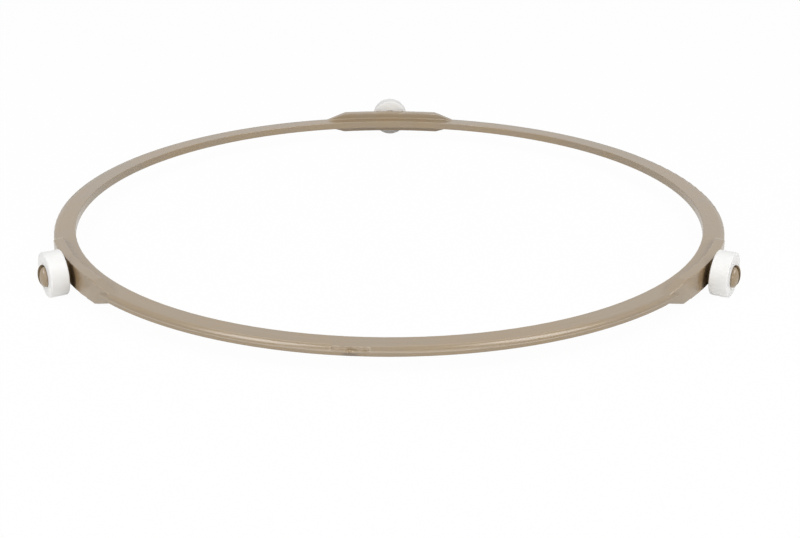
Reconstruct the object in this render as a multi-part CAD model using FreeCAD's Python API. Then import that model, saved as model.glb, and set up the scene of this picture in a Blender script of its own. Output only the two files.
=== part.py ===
import FreeCAD, Part
import math
import os

# Microwave roller ring: a moulded ring with three split stub axles, each holding a free roller.
# Millimetres, +Z up. The oven floor is z = 0 and the plate turns about x = y = 0.

# Rollers
ROLLER_D = 13.7         # tread diameter: the gap it keeps between floor and plate
ROLLER_W = 5.5          # width across the flat faces
ROLLER_EDGE = 0.4       # rounding of both rims
BORE_LEAD = 0.25        # chamfer at both mouths of the bore
BORE_PLAY = 0.35        # play of the bore around the journal, on the radius
HANG_GAP = 0.1          # what is left of that play under the journal, where the ring hangs in its rollers
SHOULDER_PLAY = 0.3     # play between shoulder and roller, along the stub
LIP_PLAY = 0.12         # play between roller and lip: the rollers have run out against the lips

# Ring strip
RING_OD = 220.6         # outer wall
RING_W = 6.8            # width of the strip
RING_T = 2.7            # thickness of the strip
RING_EDGE_OUT = 0.8     # rounding of the outer top edge
RING_EDGE_IN = 0.3      # rounding of the inner top edge
RING_EDGE_LOW = 0.4     # rounding of both bottom edges
RING_RISE = 1.2         # top face above the line of the stubs

# Stations, counted round from +X
STATIONS = {"rear": 90.0, "left": 210.0, "right": 330.0}

# Upright web at each station, a little proud of the outer wall of the strip
WEB_T = 3.2             # thickness
WEB_PROUD = 0.5         # outer face beyond the wall of the strip
WEB_L = 37.0            # length at full height
WEB_SLOPE = 7.4         # length of each sloped end
WEB_HOLD = 1.8          # length of the slope before the proud face fades into the wall
WEB_SINK = 0.4          # how far inside the wall the faded face ends
WEB_ABOVE = 2.45        # rise over the top face of the strip
WEB_BELOW = 2.35        # drop under the strip
WEB_EDGE = 0.4          # rounding of the long top and bottom edges, and of the slopes outside
WEB_ROOT = 0.6          # fillet where the inner face meets the strip

# Shoulder boss between web and roller
BOSS_D = 7.2
BOSS_L = 1.2            # stand-off from the outer face of the web
BOSS_EDGE = 0.15        # rounding of the shoulder

# Gate step: a shallow step in the outer top edge, where the moulding was trimmed from its runner
GATE_AT = 264.6         # place, counted round from +X
GATE_L = 10.0           # length along the wall
GATE_DEPTH = 0.4        # depth into the wall
GATE_LEDGE = 0.95       # drop of the ledge under the top face of the strip

# Split snap stub
JOURNAL_D = 5.0         # running diameter
JOURNAL_ROOT = 0.2      # fillet between shoulder and journal
LIP = 0.9               # catch of the lip over the journal, on the radius
LIP_LAND = 0.3          # straight part of the lip
NOSE_L = 1.5            # domed lead-in
SLOT_W = 1.9            # slot that lets the two prongs close
SLOT_ROOT = 1.0         # web of journal left between shoulder and slot

# Heights
roller_z = ROLLER_D / 2
stub_z = roller_z - BORE_PLAY + HANG_GAP
ring_top = stub_z + RING_RISE
ring_bottom = ring_top - RING_T
web_top = ring_top + WEB_ABOVE
web_bottom = ring_bottom - WEB_BELOW

# Radii from the turning axis of the plate
ring_ro = RING_OD / 2
ring_ri = ring_ro - RING_W
web_ro = ring_ro + WEB_PROUD
web_ri = web_ro - WEB_T
shoulder_r = web_ro + BOSS_L
roller_in = shoulder_r + SHOULDER_PLAY
roller_out = roller_in + ROLLER_W
lip_r = roller_out + LIP_PLAY
nose_r = lip_r + LIP_LAND
tip_r = nose_r + NOSE_L

# Radii from the line of a stub
journal = JOURNAL_D / 2
bore = journal + BORE_PLAY
lip = journal + LIP
slot_back = shoulder_r + SLOT_ROOT + SLOT_W / 2


def vec(x, y, z):
    return FreeCAD.Vector(x, y, z)


def turned(wire, height):
    """Solid turned about a line along +X at this height, from a closed profile in the XZ plane."""
    return Part.Face(wire).revolve(vec(0, 0, height), vec(1, 0, 0), 360)


def on_circle(edge, radius, height):
    """True for an edge that runs round the Z axis at this radius and height."""
    curve = edge.Curve
    if not isinstance(curve, Part.Circle):
        return False
    same_r = abs(curve.Radius - radius) < 1e-4
    same_z = abs(curve.Center.z - height) < 1e-4
    return same_r and same_z and abs(curve.Axis.z) > 0.99


def make_strip():
    """Flat annular strip: generous rounding outside on top, crisper edges elsewhere."""
    outer = Part.makeCylinder(ring_ro, RING_T, vec(0, 0, ring_bottom))
    inner = Part.makeCylinder(ring_ri, RING_T, vec(0, 0, ring_bottom))
    strip = outer.cut(inner)
    roundings = (
        (ring_ro, ring_top, RING_EDGE_OUT),
        (ring_ri, ring_top, RING_EDGE_IN),
        (ring_ro, ring_bottom, RING_EDGE_LOW),
        (ring_ri, ring_bottom, RING_EDGE_LOW),
    )
    for radius, height, size in roundings:
        rim = [edge for edge in strip.Edges if on_circle(edge, radius, height)]
        strip = strip.makeFillet(size, rim)
    return strip


def in_plan(radius, across):
    """Point of the web's plan at this radius, this far across the station."""
    return vec(math.sqrt(radius ** 2 - across ** 2), across, web_bottom)


def on_slope(edge):
    """True for an edge that climbs along a slope of the web, on its outer side."""
    first, last = edge.Vertexes[0].Point, edge.Vertexes[-1].Point
    climbs = abs(first.z - last.z) > 1e-3 and abs(first.y - last.y) > 1e-3
    middle = (first + last) / 2
    return climbs and math.hypot(middle.x, middle.y) > ring_ro - WEB_SINK - 0.1


def make_web():
    """Curved web at +X: its plan and its elevation, each drawn once and crossed."""
    half = WEB_L / 2
    hold = half + WEB_HOLD
    foot = half + WEB_SLOPE
    dip_top = foot + WEB_SLOPE * RING_EDGE_OUT / WEB_ABOVE
    dip_low = foot + WEB_SLOPE * RING_EDGE_LOW / WEB_BELOW
    far = max(dip_top, dip_low)

    fade_r = ring_ro - WEB_SINK
    corners = [in_plan(web_ro, hold), in_plan(fade_r, foot), in_plan(fade_r, far), in_plan(web_ri, far)]
    mirrored = [vec(p.x, -p.y, p.z) for p in reversed(corners)]
    outer = Part.Arc(mirrored[-1], in_plan(web_ro, 0), corners[0]).toShape()
    inner = Part.Arc(corners[-1], in_plan(web_ri, 0), mirrored[0]).toShape()
    sides = Part.makePolygon(corners).Edges + [inner] + Part.makePolygon(mirrored).Edges
    plan = Part.Face(Part.Wire([outer] + sides)).extrude(vec(0, 0, web_top - web_bottom))

    outline = [
        vec(0, -dip_low, ring_bottom + RING_EDGE_LOW),
        vec(0, -half, web_bottom),
        vec(0, half, web_bottom),
        vec(0, dip_low, ring_bottom + RING_EDGE_LOW),
        vec(0, dip_top, ring_top - RING_EDGE_OUT),
        vec(0, half, web_top),
        vec(0, -half, web_top),
        vec(0, -dip_top, ring_top - RING_EDGE_OUT),
    ]
    elevation = Part.Face(Part.makePolygon(outline + outline[:1])).extrude(vec(web_ro + 1, 0, 0))
    web = plan.common(elevation)
    rounded = []
    for edge in web.Edges:
        if any(on_circle(edge, r, z) for r in (web_ro, web_ri) for z in (web_top, web_bottom)):
            rounded.append(edge)
        elif on_slope(edge):
            rounded.append(edge)
    return web.makeFillet(WEB_EDGE, rounded)


def domed(rim, tip):
    """Quarter of an ellipse from the rim of the lip to the tip of the nose."""
    middle = vec(rim.x, 0, tip.z)
    across = rim.z - tip.z
    along = tip.x - rim.x
    if along > across:
        oval = Part.Ellipse(tip, rim, middle)
        return Part.ArcOfEllipse(oval, 0, math.pi / 2).toShape()
    oval = Part.Ellipse(rim, tip, middle)
    return Part.ArcOfEllipse(oval, 0, math.pi / 2).toShape()


def make_stub():
    """Shoulder boss and split snap stub at +X, turned about its own line and slotted."""
    root_r = web_ro - WEB_T / 2
    profile = [
        vec(tip_r, 0, stub_z),
        vec(root_r, 0, stub_z),
        vec(root_r, 0, stub_z + BOSS_D / 2),
        vec(shoulder_r, 0, stub_z + BOSS_D / 2),
        vec(shoulder_r, 0, stub_z + journal),
        vec(lip_r, 0, stub_z + journal),
        vec(lip_r, 0, stub_z + lip),
        vec(nose_r, 0, stub_z + lip),
    ]
    nose = domed(profile[-1], profile[0])
    stub = turned(Part.Wire(Part.makePolygon(profile).Edges + [nose]), stub_z)
    roundings = (
        (shoulder_r, BOSS_D / 2, BOSS_EDGE),
        (shoulder_r, journal, JOURNAL_ROOT),
    )
    for at_x, radius, size in roundings:
        rim = []
        for edge in stub.Edges:
            if edge.Degenerated:
                continue
            curve = edge.Curve
            if isinstance(curve, Part.Circle) and abs(curve.Center.x - at_x) < 1e-4:
                if abs(curve.Radius - radius) < 1e-4:
                    rim.append(edge)
        stub = stub.makeFillet(size, rim)
    tall = 2 * lip + 2
    length = tip_r - slot_back + 1
    slot = Part.makeBox(length, SLOT_W, tall, vec(slot_back, -SLOT_W / 2, stub_z - tall / 2))
    root = Part.makeCylinder(SLOT_W / 2, tall, vec(slot_back, 0, stub_z - tall / 2))
    return stub.cut(slot.fuse(root))


def make_roller():
    """Roller at +X: plain tread, rounded rims, chamfered bore."""
    tread = ROLLER_D / 2
    profile = [
        vec(roller_in, 0, roller_z + bore + BORE_LEAD),
        vec(roller_in, 0, roller_z + tread),
        vec(roller_out, 0, roller_z + tread),
        vec(roller_out, 0, roller_z + bore + BORE_LEAD),
        vec(roller_out - BORE_LEAD, 0, roller_z + bore),
        vec(roller_in + BORE_LEAD, 0, roller_z + bore),
    ]
    roller = turned(Part.makePolygon(profile + profile[:1]), roller_z)
    rims = []
    for edge in roller.Edges:
        if isinstance(edge.Curve, Part.Circle) and abs(edge.Curve.Radius - tread) < 1e-4:
            rims.append(edge)
    return roller.makeFillet(ROLLER_EDGE, rims)


def at_station(shape, angle):
    """Copy of a shape built at +X, carried round to a station."""
    placed = shape.copy()
    placed.rotate(vec(0, 0, 0), vec(0, 0, 1), angle)
    return placed


def make_gate_step():
    """Arc-shaped block that takes the gate step out of the outer top edge."""
    spread = math.degrees(GATE_L / ring_ro)
    ledge = ring_top - GATE_LEDGE
    block = Part.makeCylinder(ring_ro + 1, GATE_LEDGE + 1, vec(0, 0, ledge), vec(0, 0, 1), spread)
    core = Part.makeCylinder(ring_ro - GATE_DEPTH, GATE_LEDGE + 1, vec(0, 0, ledge))
    return at_station(block.cut(core), GATE_AT - spread / 2)


def make_frame():
    """Strip, webs, bosses and stubs, fused as the one moulding they are."""
    frame = make_strip()
    web = make_web()
    stub = make_stub()
    for angle in STATIONS.values():
        frame = frame.fuse(at_station(web, angle))
    frame = frame.removeSplitter()
    frame = frame.cut(make_gate_step())
    roots = []
    for edge in frame.Edges:
        if any(on_circle(edge, web_ri, z) for z in (ring_top, ring_bottom)):
            roots.append(edge)
    frame = frame.makeFillet(WEB_ROOT, roots)
    for angle in STATIONS.values():
        frame = frame.fuse(at_station(stub, angle))
    return frame.removeSplitter()


os.makedirs("parts", exist_ok=True)

frame_solid = make_frame()
frame_solid.exportStep("parts/ring_frame.step")
print("ring_frame", frame_solid.isValid(), len(frame_solid.Solids), round(frame_solid.Volume, 1))

roller_solid = make_roller()
for name, angle in STATIONS.items():
    placed = at_station(roller_solid, angle)
    placed.exportStep("parts/roller_" + name + ".step")
    print("roller_" + name, placed.isValid(), len(placed.Solids), round(placed.Volume, 1))
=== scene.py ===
# %% [markdown]
# # A microwave roller ring
# The ring lies loose on the floor of a microwave oven and the glass plate turns on its three rollers.
# The solids come packed from CAD: one moulded ring and three rollers, each in its true place and size.
# They stay as they are. This lesson gives them a camera, a light tent and their plastics, and models the
# one thing that is too rough for CAD: the torn stub where the moulding was broken from its runner.

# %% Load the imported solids
import math

import bpy
from mathutils import Matrix, Vector


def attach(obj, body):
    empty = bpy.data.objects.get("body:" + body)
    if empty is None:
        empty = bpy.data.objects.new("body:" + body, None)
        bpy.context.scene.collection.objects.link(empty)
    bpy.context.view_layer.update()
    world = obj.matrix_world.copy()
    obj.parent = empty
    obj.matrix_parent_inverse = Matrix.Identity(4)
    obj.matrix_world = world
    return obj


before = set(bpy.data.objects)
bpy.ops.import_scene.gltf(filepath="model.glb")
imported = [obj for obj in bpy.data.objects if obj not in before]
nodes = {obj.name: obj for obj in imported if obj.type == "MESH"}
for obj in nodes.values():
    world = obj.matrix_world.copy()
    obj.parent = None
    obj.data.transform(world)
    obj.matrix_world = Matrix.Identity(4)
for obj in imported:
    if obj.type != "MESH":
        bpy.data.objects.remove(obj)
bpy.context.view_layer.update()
print("solids:", ", ".join(sorted(nodes)))

# %% [markdown]
# The Standard view transform shows a colour about as it is written, so plastics can be matched by their
# numbers. The other view settings stay at their defaults.

# %% View transform
scene = bpy.context.scene
scene.view_settings.view_transform = "Standard"
print("view transform:", scene.view_settings.view_transform)

# %% [markdown]
# The camera was found by fitting a pinhole to the ring's own edges: a circle seen at an angle gives away
# both the height and the distance it is seen from. The lens is a short telephoto, about four ring radii
# away, looking down by some 22 degrees. The picture's middle is the lens's middle, so there is no shift.

# %% Camera
RIM_PLANE = 0.00765
EYE = Vector((0.0, -0.415130, 0.147512 + RIM_PLANE))
LOOK_DOWN = math.radians(22.3247)
LOOK_RIGHT = math.radians(0.4824)
LEAN = math.radians(0.2056)
SENSOR_WIDTH = 36.0
LENS = 58.595

ahead = Vector((math.sin(LOOK_RIGHT), math.cos(LOOK_RIGHT), 0.0)) * math.cos(LOOK_DOWN)
ahead.z = -math.sin(LOOK_DOWN)
level_right = ahead.cross(Vector((0, 0, 1))).normalized()
level_up = level_right.cross(ahead)
right = level_right * math.cos(LEAN) + level_up * math.sin(LEAN)
up = level_up * math.cos(LEAN) - level_right * math.sin(LEAN)

bpy.ops.object.camera_add()
camera = bpy.context.object
camera.name = "photo_camera"
camera.data.sensor_width = SENSOR_WIDTH
camera.data.lens = LENS
camera.data.clip_start = 0.01
camera.matrix_world = Matrix.Translation(EYE) @ Matrix((right, up, -ahead)).transposed().to_4x4()
scene.camera = camera
print("camera at, mm:", [round(1000 * v, 1) for v in EYE], "lens", LENS)

# %% [markdown]
# Node materials get long, so a few small helpers keep the cells readable. `add` makes a node and `plug_in`
# sets its sockets, and takes either a value or another node's output for each of them. Where a node has
# several sockets of one name, they go by their numbers instead, as `_0` and `_1`.

# %% Helpers for nodes
def plug_in(tree, made, **sockets):
    for name, value in sockets.items():
        key = int(name[1:]) if name[0] == "_" else name.replace("_", " ")
        plug = made.inputs[key]
        if isinstance(value, bpy.types.NodeSocket):
            tree.links.new(value, plug)
        else:
            plug.default_value = value


def add(tree, kind, settings=None, **sockets):
    made = tree.nodes.new("ShaderNode" + kind)
    for name, value in (settings or {}).items():
        setattr(made, name, value)
    plug_in(tree, made, **sockets)
    return made


def math_node(tree, operation, a, b=0.0, c=0.0):
    return add(tree, "Math", {"operation": operation}, _0=a, _1=b, _2=c).outputs[0]


def times(tree, product, *factors):
    for factor in factors:
        product = math_node(tree, "MULTIPLY", product, factor)
    return product


def measure(tree, operation, a, b=(0, 0, 0)):
    return add(tree, "VectorMath", {"operation": operation}, _0=a, _1=b).outputs["Value"]


def direction(tree, operation, a, b=(0, 0, 0)):
    return add(tree, "VectorMath", {"operation": operation}, _0=a, _1=b).outputs["Vector"]


def scaled(tree, a, scale):
    return add(tree, "VectorMath", {"operation": "SCALE"}, _0=a, Scale=scale).outputs["Vector"]


def mix_colour(tree, factor, a, b):
    return add(tree, "Mix", {"data_type": "RGBA"}, _0=factor, _6=a, _7=b).outputs[2]


def mix_way(tree, factor, a, b):
    return add(tree, "Mix", {"data_type": "VECTOR"}, _0=factor, _4=a, _5=b).outputs[1]


print("helpers for nodes ready")

# %% [markdown]
# Marks are put in their places by masks, which are numbers between 0 and 1. A ramp rises from 0 to 1
# between two limits, a fade falls from 1 to 0, and a band rises and then falls again. Two kinds of noise
# make patches: a plain one, and one that is drawn out, because it changes slowly with the place and fast
# with a number of its own.

# %% Helpers for masks and noise
def ramp(tree, value, low, high, kind="SMOOTHSTEP"):
    settings = {"interpolation_type": kind}
    return add(tree, "MapRange", settings, Value=value, From_Min=low, From_Max=high).outputs["Result"]


def fade(tree, value, low, high):
    return math_node(tree, "SUBTRACT", 1.0, ramp(tree, value, low, high))


def band(tree, value, rise, fall):
    return math_node(tree, "SUBTRACT", ramp(tree, value, *rise), ramp(tree, value, *fall))


def above(tree, value, limit):
    return math_node(tree, "GREATER_THAN", value, limit)


def below(tree, value, limit):
    return math_node(tree, "LESS_THAN", value, limit)


def off(tree, value, target):
    return math_node(tree, "ABSOLUTE", math_node(tree, "SUBTRACT", value, target))


def noise(tree, place, scale, detail, roughness=0.5):
    return add(tree, "TexNoise", Vector=place, Scale=scale, Detail=detail, Roughness=roughness).outputs[0]


def drawn_noise(tree, place, slowly, fast, detail):
    slow = scaled(tree, place, slowly)
    settings = {"noise_dimensions": "4D"}
    return add(tree, "TexNoise", settings, Vector=slow, W=fast, Scale=1.0, Detail=detail).outputs[0]


print("helpers for masks ready")

# %% [markdown]
# A plastic is a material with its Principled node ready to be wired. `dress` puts one on a solid in place
# of what it came with.

# %% Helpers for plastics
def new_plastic(name):
    made = bpy.data.materials.new(name)
    made.use_nodes = True
    return made, made.node_tree, made.node_tree.nodes["Principled BSDF"]


def dress(solid, plastic):
    solid.data.materials.clear()
    solid.data.materials.append(plastic)
    print("dressed", solid.name, "in", plastic.name)


print("helpers for plastics ready")

# %% [markdown]
# The plastics put their marks by place, so the few sizes that they need are named here once, in metres. A
# bearing is an angle round the ring's middle, in degrees, and `way_to` turns it into a direction.

# %% Sizes and bearings
WALL = 0.1103
TOP_FACE = 0.0078
ROUND_RADIUS = 0.0008
STUB_AXLE_Z = 0.0066
ROLLER_AXLE_Z = 0.00685
BEARINGS = {"rear": 90.0, "left": 210.0, "right": 330.0}
GATE_BEARING = 264.6


def way_to(bearing):
    around = math.radians(bearing)
    return Vector((math.cos(around), math.sin(around), 0.0))


print("rollers at, degrees:", BEARINGS, "gate at", GATE_BEARING)

# %% [markdown]
# The picture was taken in a light tent on plain white. Here a pale floor does the same: rays from the
# camera, and rays that reflections send out, see it almost white, with a little of the true shading left
# so that the soft shadow under the ring stays. Every other ray meets an ordinary matt floor.

# %% Floor
SHARE_OF_WHITE = 0.97
MATT_TO_LIGHT = (0.90, 0.90, 0.90, 1)
MATT_TO_EYE = (0.97, 0.97, 0.97, 1)
WHITE = (1, 1, 1, 1)


def seen_rays(tree):
    rays = add(tree, "LightPath")
    seen = rays.outputs["Is Camera Ray"]
    for kind in ("Is Glossy Ray", "Is Transmission Ray"):
        seen = math_node(tree, "MAXIMUM", seen, rays.outputs[kind])
    return seen


bpy.ops.object.select_all(action="DESELECT")
bpy.ops.mesh.primitive_plane_add(size=6.0, location=(0, 0, 0))
floor = bpy.context.object
floor.name = "floor"

floor_paint = bpy.data.materials.new("floor_white")
floor_paint.use_nodes = True
tree = floor_paint.node_tree
tree.nodes.clear()
seen = seen_rays(tree)
matt = add(tree, "BsdfDiffuse", Color=mix_colour(tree, seen, MATT_TO_LIGHT, MATT_TO_EYE))
white = add(tree, "Emission", Color=WHITE, Strength=1.0)
share = times(tree, seen, SHARE_OF_WHITE)
both = add(tree, "MixShader", _0=share, _1=matt.outputs[0], _2=white.outputs[0])
add(tree, "OutputMaterial", Surface=both.outputs[0])
floor.data.materials.append(floor_paint)
print("floor:", floor.name)

# %% [markdown]
# The world is the cloth of the tent: an even, modest glow. To the camera and to reflections it is plain
# white, which is what the smooth plastic mirrors at low angles.

# %% World
TENT_GLOW = 0.2
world = bpy.data.worlds.new("light_tent")
world.use_nodes = True
scene.world = world
tree = world.node_tree
tree.nodes.clear()
glow = add(tree, "Background", Color=WHITE, Strength=TENT_GLOW)
plain = add(tree, "Background", Color=WHITE, Strength=1.0)
both = add(tree, "MixShader", _0=seen_rays(tree), _1=glow.outputs[0], _2=plain.outputs[0])
add(tree, "OutputWorld", Surface=both.outputs[0])
print("world:", world.name)

# %% [markdown]
# Two tall soft boxes stand left and right of the camera. On the rounded near edge they leave a bright line
# on each side and none in the middle, and that tells where they stood. A dim panel behind the camera lifts
# what looks forward. Another behind the ring is mirrored in the top faces, which are seen at a low angle,
# and veils their colour with grey. Every lamp looks at the ring's middle, and its power is its glow times
# its area, so that a lamp can change its size and stay as bright.

# %% Soft boxes and panels
def soft_box(name, bearing, height, distance, size, glow):
    rise = math.radians(height)
    place = distance * (way_to(bearing) * math.cos(rise) + Vector((0, 0, math.sin(rise))))
    bpy.ops.object.light_add(type="AREA", location=place)
    lamp = bpy.context.object
    lamp.name = name
    lamp.data.shape = "RECTANGLE"
    lamp.data.size, lamp.data.size_y = size
    lamp.data.energy = glow * math.pi * size[0] * size[1]
    lamp.rotation_euler = (-place).to_track_quat("-Z", "Y").to_euler()
    print(name, [round(v, 2) for v in place], round(lamp.data.energy, 2), "W")


soft_box("soft_box_left", 223.0, 44.0, 0.95, (0.42, 0.70), 4.1)
soft_box("soft_box_right", 324.0, 44.0, 0.95, (0.42, 0.70), 4.1)
soft_box("front_panel", 270.0, 8.0, 1.10, (1.40, 0.26), 1.45)
soft_box("back_panel", 90.0, 62.0, 1.10, (0.90, 0.50), 1.1)

# %% [markdown]
# The ring is a warm grey, glass-filled plastic. Up close it isn't one colour: the melt flowed round the
# ring from its gate, so two close tones run into each other in long streaks, and fine fibres leave a grain.
# The drawn-out noise makes the streaks: the place on the ring moves it slowly, and the distance from the
# middle less the height moves it fast. That follows the ring with no seam.

# %% Ring plastic, colour
TAUPE = (0.335, 0.256, 0.165, 1)
TAN = (0.350, 0.253, 0.146, 1)
PALE = (0.400, 0.318, 0.222, 1)
DARK = (0.286, 0.213, 0.134, 1)
STREAKS_ALONG = 26.0
STREAKS_ACROSS = 1400.0
BLOT_SCALE = 55.0
GRAIN_SCALE = 1700.0

ring_plastic, tree, skin = new_plastic("ring_plastic")
place = add(tree, "TexCoord").outputs["Object"]
axes = add(tree, "SeparateXYZ", Vector=place)
height = axes.outputs["Z"]
flat = add(tree, "CombineXYZ", X=axes.outputs["X"], Y=axes.outputs["Y"]).outputs[0]
reach = measure(tree, "LENGTH", flat)

streak_w = times(tree, math_node(tree, "SUBTRACT", reach, height), STREAKS_ACROSS)
streaks = drawn_noise(tree, place, STREAKS_ALONG, streak_w, detail=3.0)
blots = noise(tree, place, BLOT_SCALE, 3.0, 0.55)
grain = noise(tree, place, GRAIN_SCALE, 1.0, 0.6)
colour = mix_colour(tree, ramp(tree, blots, 0.36, 0.64), TAUPE, TAN)
colour = mix_colour(tree, times(tree, ramp(tree, streaks, 0.48, 0.74), 0.22), colour, PALE)
colour = mix_colour(tree, times(tree, ramp(tree, grain, 0.50, 0.72), 0.22), colour, DARK)
print("ring plastic:", len(tree.nodes), "nodes")

# %% [markdown]
# Where the two mould halves met, a hair line runs round the outer wall. It is a narrow band of height, kept
# to the wall by the distance from the middle. It is paler than the rest, a trifle proud, and fainter here
# and there.

# %% Ring plastic, parting line
PARTING = 0.0064
HAIR = (0.520, 0.430, 0.330, 1)
HAIR_FADE = (0.00006, 0.00022)
on_wall = band(tree, reach, (WALL - 0.0003, WALL - 0.0001), (WALL + 0.0001, WALL + 0.0003))
line = times(tree, fade(tree, off(tree, height, PARTING), *HAIR_FADE), on_wall)
line_amount = times(tree, line, ramp(tree, blots, 0.22, 0.60), 0.75)
colour = mix_colour(tree, line_amount, colour, HAIR)
print("parting line at, mm:", 1000 * PARTING)

# %% [markdown]
# In the near edge is a shallow step, where the runner was cut away. Its back wall is painted paler on both
# sides of its middle, in patches drawn out along the cut: a painted highlight where the step catches the
# light. Under the step is painted shadow, a dark band below the torn stub. The place along the edge comes
# from a dot product with the edge's own direction.

# %% Ring plastic, step with painted highlight and shadow
STEP_HIGHLIGHT = (0.520, 0.425, 0.315, 1)
STUB_SHADOW = (0.190, 0.150, 0.110, 1)
GATE_OUT = way_to(GATE_BEARING)
GATE_ALONG = way_to(GATE_BEARING + 90.0)
STEP_Z = 0.0072
GATE_PLACE = WALL * GATE_OUT + Vector((0, 0, STEP_Z))
HIGHLIGHT_STRETCH = (500.0, 500.0, 2600.0)

from_gate = measure(tree, "DISTANCE", place, GATE_PLACE)
beside = off(tree, measure(tree, "DOT_PRODUCT", place, GATE_ALONG), 0.0)
near_gate = fade(tree, from_gate, 0.0049, 0.0058)
in_step = times(tree, ramp(tree, reach, 0.1096, 0.1098), ramp(tree, height, 0.0064, 0.0068))
along_cut = add(tree, "Mapping", Vector=place, Scale=HIGHLIGHT_STRETCH).outputs[0]
highlight_patches = ramp(tree, noise(tree, along_cut, 1.0, 3.0), 0.36, 0.60)
# Painted highlight: pale patches on the step's back wall.
step_highlight = times(tree, near_gate, ramp(tree, beside, 0.0002, 0.0016), in_step, highlight_patches, 0.75)
colour = mix_colour(tree, step_highlight, colour, STEP_HIGHLIGHT)
# Painted shadow: a dark band under the torn stub.
under = band(tree, height, (0.0050, 0.0053), (0.0058, 0.0063))
stub_shadow = times(tree, fade(tree, beside, 0.0010, 0.0034), under, near_gate, 0.80)
colour = mix_colour(tree, stub_shadow, colour, STUB_SHADOW)
print("painted step at, mm:", [round(1000 * v, 1) for v in GATE_PLACE])

# %% [markdown]
# The narrow gap between each front roller and its web is darkened with painted shade: a brown wash further
# out and a near-black core round the axle. How far a place is from the nearer axle comes from Pythagoras:
# the longer of two dot products with the stubs' directions is the part along the axle, and what is left is
# the part across it.

# %% Ring plastic, painted shade behind the rollers
GAP_SHADE_DARK = (0.070, 0.044, 0.020, 1)
GAP_SHADE_BROWN = (0.290, 0.176, 0.076, 1)
GAP_FROM = (0.1104, 0.1107)
GAP_TO = (0.1174, 0.1178)
SHADED_STUBS = [way_to(BEARINGS[side]) for side in ("left", "right")]

to_left, to_right = [measure(tree, "DOT_PRODUCT", place, stub) for stub in SHADED_STUBS]
along_axle = math_node(tree, "MAXIMUM", to_left, to_right)
above_axle = math_node(tree, "SUBTRACT", height, STUB_AXLE_Z)
across = math_node(tree, "SUBTRACT", times(tree, reach, reach), times(tree, along_axle, along_axle))
across = math_node(tree, "MULTIPLY_ADD", above_axle, above_axle, across)
off_axle = math_node(tree, "SQRT", math_node(tree, "MAXIMUM", across, 0.0))

past_wall = ramp(tree, reach, *GAP_FROM)
past_boss = ramp(tree, along_axle, *GAP_TO)
in_gap = math_node(tree, "SUBTRACT", past_wall, past_boss)
# Painted shade: the gap's colour goes brown further out and near black round the axle.
brown_shade = times(tree, fade(tree, off_axle, 0.0066, 0.0130), in_gap, 0.70)
gap_shade = times(tree, fade(tree, off_axle, 0.0054, 0.0080), in_gap, 0.85)
colour = mix_colour(tree, brown_shade, colour, GAP_SHADE_BROWN)
colour = mix_colour(tree, gap_shade, colour, GAP_SHADE_DARK)
print("painted shade behind", len(SHADED_STUBS), "rollers")

# %% [markdown]
# The mesh has only a few facets across the strip's rounded top edge, so a highlight would break up on it.
# But the direction of the surface is known at any place: it turns steadily from straight up on the top face
# to straight out on the wall. So the material works it out there from the place alone, and starts the turn
# a little before the rounding, as a polished mould does. The mask `on_edge` says where: close to the
# rounding's own curve, and clear of the step at the gate.

# %% Ring plastic, rounded edge
ROUND_REACH = WALL - ROUND_RADIUS
ROUND_HEIGHT = TOP_FACE - ROUND_RADIUS
TURN_HALF = 0.0017
CURVE_NEAR = 0.00026
GATE_CLEAR = 0.0051
EDGE_REACH = 0.1082
EDGE_LOW, EDGE_HIGH = 0.0060, 0.00785

outwards = direction(tree, "NORMALIZE", flat)
sideways = math_node(tree, "SUBTRACT", reach, ROUND_REACH)
upwards = math_node(tree, "SUBTRACT", height, ROUND_HEIGHT)
past_side = math_node(tree, "MAXIMUM", sideways, 0.0)
past_top = math_node(tree, "MAXIMUM", upwards, 0.0)
corner = add(tree, "CombineXYZ", X=past_side, Y=past_top).outputs[0]
off_curve = off(tree, measure(tree, "LENGTH", corner), ROUND_RADIUS)
clear_of_gate = above(tree, from_gate, GATE_CLEAR)
on_edge = times(tree, below(tree, off_curve, CURVE_NEAR), clear_of_gate, above(tree, reach, EDGE_REACH),
                above(tree, height, EDGE_LOW), below(tree, height, EDGE_HIGH))

turn = ramp(tree, math_node(tree, "SUBTRACT", sideways, upwards), -TURN_HALF, TURN_HALF, "LINEAR")
angle = times(tree, turn, math.pi / 2)
out_part = scaled(tree, outwards, math_node(tree, "SINE", angle))
up_part = add(tree, "CombineXYZ", Z=math_node(tree, "COSINE", angle)).outputs[0]
edge_way = direction(tree, "ADD", out_part, up_part)
print("rounded edge, mm:", 1000 * ROUND_RADIUS)

# %% [markdown]
# The other faces are told apart by how far their facets look up. The level ones take their facets' true
# direction, the slopes at the ends of the webs are softened towards straight up, and the outer wall points
# straight out. Everywhere else the mesh's own smooth direction stays.

# %% Ring plastic, flat faces
SLOPE_LEVEL = 0.94
SLOPE_SOFTENING = 0.6
FLAT_LEVEL = 0.97
WALL_LEVEL = 0.2
WALL_IN, WALL_OUT = 0.10995, 0.11095
STRAIGHT_UP = (0, 0, 1)

surface = add(tree, "NewGeometry")
facet = surface.outputs["True Normal"]
level = add(tree, "SeparateXYZ", Vector=facet).outputs["Z"]
soft_slope = times(tree, above(tree, level, SLOPE_LEVEL), SLOPE_SOFTENING)
is_flat = above(tree, level, FLAT_LEVEL)
is_wall = times(tree, below(tree, off(tree, level, 0.0), WALL_LEVEL), clear_of_gate,
                above(tree, reach, WALL_IN), below(tree, reach, WALL_OUT))
facing = mix_way(tree, soft_slope, surface.outputs["Normal"], STRAIGHT_UP)
facing = mix_way(tree, is_flat, facing, facet)
facing = mix_way(tree, is_wall, facing, outwards)
facing = mix_way(tree, on_edge, facing, edge_way)
print("ring plastic:", len(tree.nodes), "nodes")
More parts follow.
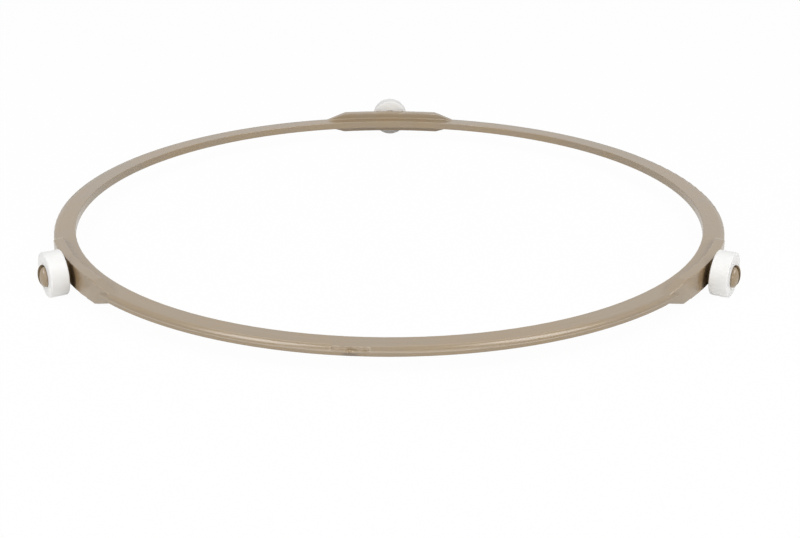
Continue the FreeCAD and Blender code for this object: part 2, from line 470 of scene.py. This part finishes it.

# %% [markdown]
# Gloss and grain come last. The mould was lightly etched, so the surface is satin, a bit shinier where
# the streaks are dense and duller in the gap behind the rollers, where the shade is painted. The bump is a
# few microns of grain plus the parting line.

# %% Ring plastic, gloss and bump
RING_INDEX = 1.75
GRAIN_DEPTH = 0.00003
roughness = math_node(tree, "MULTIPLY_ADD", streaks, -0.10, 0.29)
roughness = math_node(tree, "MAXIMUM", roughness, gap_shade)
shine = math_node(tree, "MULTIPLY_ADD", gap_shade, -0.5, 0.5)
relief = math_node(tree, "MULTIPLY_ADD", grain, 0.5, times(tree, line, 0.9))
bump = add(tree, "Bump", Height=relief, Normal=facing, Strength=0.20, Distance=GRAIN_DEPTH)
plug_in(tree, skin, Base_Color=colour, Roughness=roughness, Normal=bump.outputs[0],
        IOR=RING_INDEX, Specular_IOR_Level=shine)
dress(nodes["ring_frame"], ring_plastic)

# %% [markdown]
# The CAD solid has a shallow step in the near edge, where the runner joined it. Just under the step's ledge
# sits what was left when the runner was broken off: a torn lump, two and a half millimetres long. It starts
# as an icosphere, drawn out along the wall. One bisect takes off the half inside the wall and a second the
# front, aslant, as a break does. A remesh evens the faces out, and two displacements by cloud noise, a
# coarse one and a fine one, tear the surface.

# %% Gate stub, shape
STUB_Z = 0.00655
STUB_HALF = Vector((0.00042, 0.00125, 0.00034))
STUB_BACK = (-0.00010, 0, 0)
STUB_FRONT = (0.00024, 0, 0)
BREAK_LOOKS = (1, 0.10, -0.35)
VOXEL = 0.00003
TEARS = {"torn_coarse": (0.0004, 0.00014), "torn_fine": (0.00012, 0.00005)}


def finish_with(piece, kind, **values):
    changed = piece.modifiers.new(kind.lower(), kind)
    for name, value in values.items():
        setattr(changed, name, value)
    bpy.ops.object.modifier_apply(modifier=changed.name)


def clouds(name, size):
    made = bpy.data.textures.new(name, "CLOUDS")
    made.noise_scale = size
    made.noise_depth = 2
    return made


bpy.ops.object.select_all(action="DESELECT")
bpy.ops.mesh.primitive_ico_sphere_add(subdivisions=4, radius=1.0)
gate_stub = bpy.context.object
gate_stub.name = "gate_stub"
gate_stub.scale = STUB_HALF
bpy.ops.object.transform_apply(location=False, rotation=False, scale=True)
bpy.ops.object.mode_set(mode="EDIT")
bpy.ops.mesh.select_all(action="SELECT")
bpy.ops.mesh.bisect(plane_co=STUB_BACK, plane_no=(1, 0, 0), use_fill=True, clear_inner=True)
bpy.ops.mesh.select_all(action="SELECT")
bpy.ops.mesh.bisect(plane_co=STUB_FRONT, plane_no=BREAK_LOOKS, use_fill=True, clear_outer=True)
bpy.ops.object.mode_set(mode="OBJECT")
finish_with(gate_stub, "REMESH", mode="VOXEL", voxel_size=VOXEL)
for name, (size, strength) in TEARS.items():
    finish_with(gate_stub, "DISPLACE", texture=clouds(name, size), strength=strength, mid_level=0.5)
print("gate stub:", len(gate_stub.data.polygons), "faces")

# %% [markdown]
# The stub was made at the origin, with its front along X. Now it goes to its place on the wall and turns to
# look outwards, and both are applied, so that the finished piece sits at the origin unturned. It is part of
# the moulding, so it rides the frame.

# %% Gate stub, place
gate_stub.location = WALL * GATE_OUT + Vector((0, 0, STUB_Z))
gate_stub.rotation_euler = (0, 0, math.radians(GATE_BEARING))
bpy.ops.object.transform_apply(location=True, rotation=True, scale=True)
bpy.ops.object.shade_smooth_by_angle(angle=math.radians(50))
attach(gate_stub, "frame")
print("gate stub at height, mm:", 1000 * STUB_Z)

# %% [markdown]
# Plastic that was bent until it broke turns pale, because tiny voids open in it. So the stub is the ring's
# own colour gone chalky, in patches, and rough all over.

# %% Gate stub, finish
TORN = (0.60, 0.50, 0.38, 1)
PATCH_SCALE = 1700.0
PIT_SCALE = 9000.0
PIT_DEPTH = 0.00002

torn_plastic, tree, skin = new_plastic("torn_plastic")
place = add(tree, "TexCoord").outputs["Object"]
patches = noise(tree, place, PATCH_SCALE, 3.0, 0.6)
pits = noise(tree, place, PIT_SCALE, 2.0)
tone = mix_colour(tree, ramp(tree, patches, 0.38, 0.62), TAN, TORN)
roughness = math_node(tree, "MULTIPLY_ADD", pits, 0.2, 0.50)
bump = add(tree, "Bump", Height=pits, Strength=0.4, Distance=PIT_DEPTH)
plug_in(tree, skin, Base_Color=tone, Roughness=roughness, Normal=bump.outputs[0])
gate_stub.data.materials.append(torn_plastic)
print("gate stub finish:", torn_plastic.name)

# %% [markdown]
# The rollers are a hard white plastic. Each was turned out of a round mould, so faint rings run round its
# own axle. The three rollers point three ways, so each gets its own copy of the material with the axle's
# direction set in a Mapping node.

# %% Roller plastic
MILK = (0.94, 0.935, 0.92, 1)
CREAM = (0.92, 0.915, 0.895, 1)
GROOVE = (0.85, 0.84, 0.81, 1)
RINGS_ALONG = 60.0
RINGS_ACROSS = 1400.0
CLOUD_SCALE = 240.0
RING_DEPTH = 0.00003
ROLLER_INDEX = 1.48


def roller_plastic(name, bearing):
    made, tree, skin = new_plastic("roller_plastic_" + name)
    place = add(tree, "TexCoord").outputs["Object"]
    turned = add(tree, "Mapping", Vector=place, Location=(0, 0, -ROLLER_AXLE_Z),
                 Rotation=(0, 0, -math.radians(bearing)))
    axes = add(tree, "SeparateXYZ", Vector=turned.outputs[0])
    section = add(tree, "CombineXYZ", Y=axes.outputs["Y"], Z=axes.outputs["Z"]).outputs[0]
    ring_w = times(tree, measure(tree, "LENGTH", section), RINGS_ACROSS)
    rings = drawn_noise(tree, place, RINGS_ALONG, ring_w, detail=1.0)
    cloud = noise(tree, place, CLOUD_SCALE, 3.0)
    tone = mix_colour(tree, ramp(tree, cloud, 0.35, 0.70), MILK, CREAM)
    tone = mix_colour(tree, times(tree, ramp(tree, rings, 0.50, 0.75), 0.18), tone, GROOVE)
    roughness = math_node(tree, "MULTIPLY_ADD", rings, 0.14, 0.44)
    bump = add(tree, "Bump", Height=rings, Strength=0.12, Distance=RING_DEPTH)
    plug_in(tree, skin, Base_Color=tone, Roughness=roughness, Normal=bump.outputs[0], IOR=ROLLER_INDEX)
    return made


for name, bearing in BEARINGS.items():
    dress(nodes["roller_" + name], roller_plastic(name, bearing))
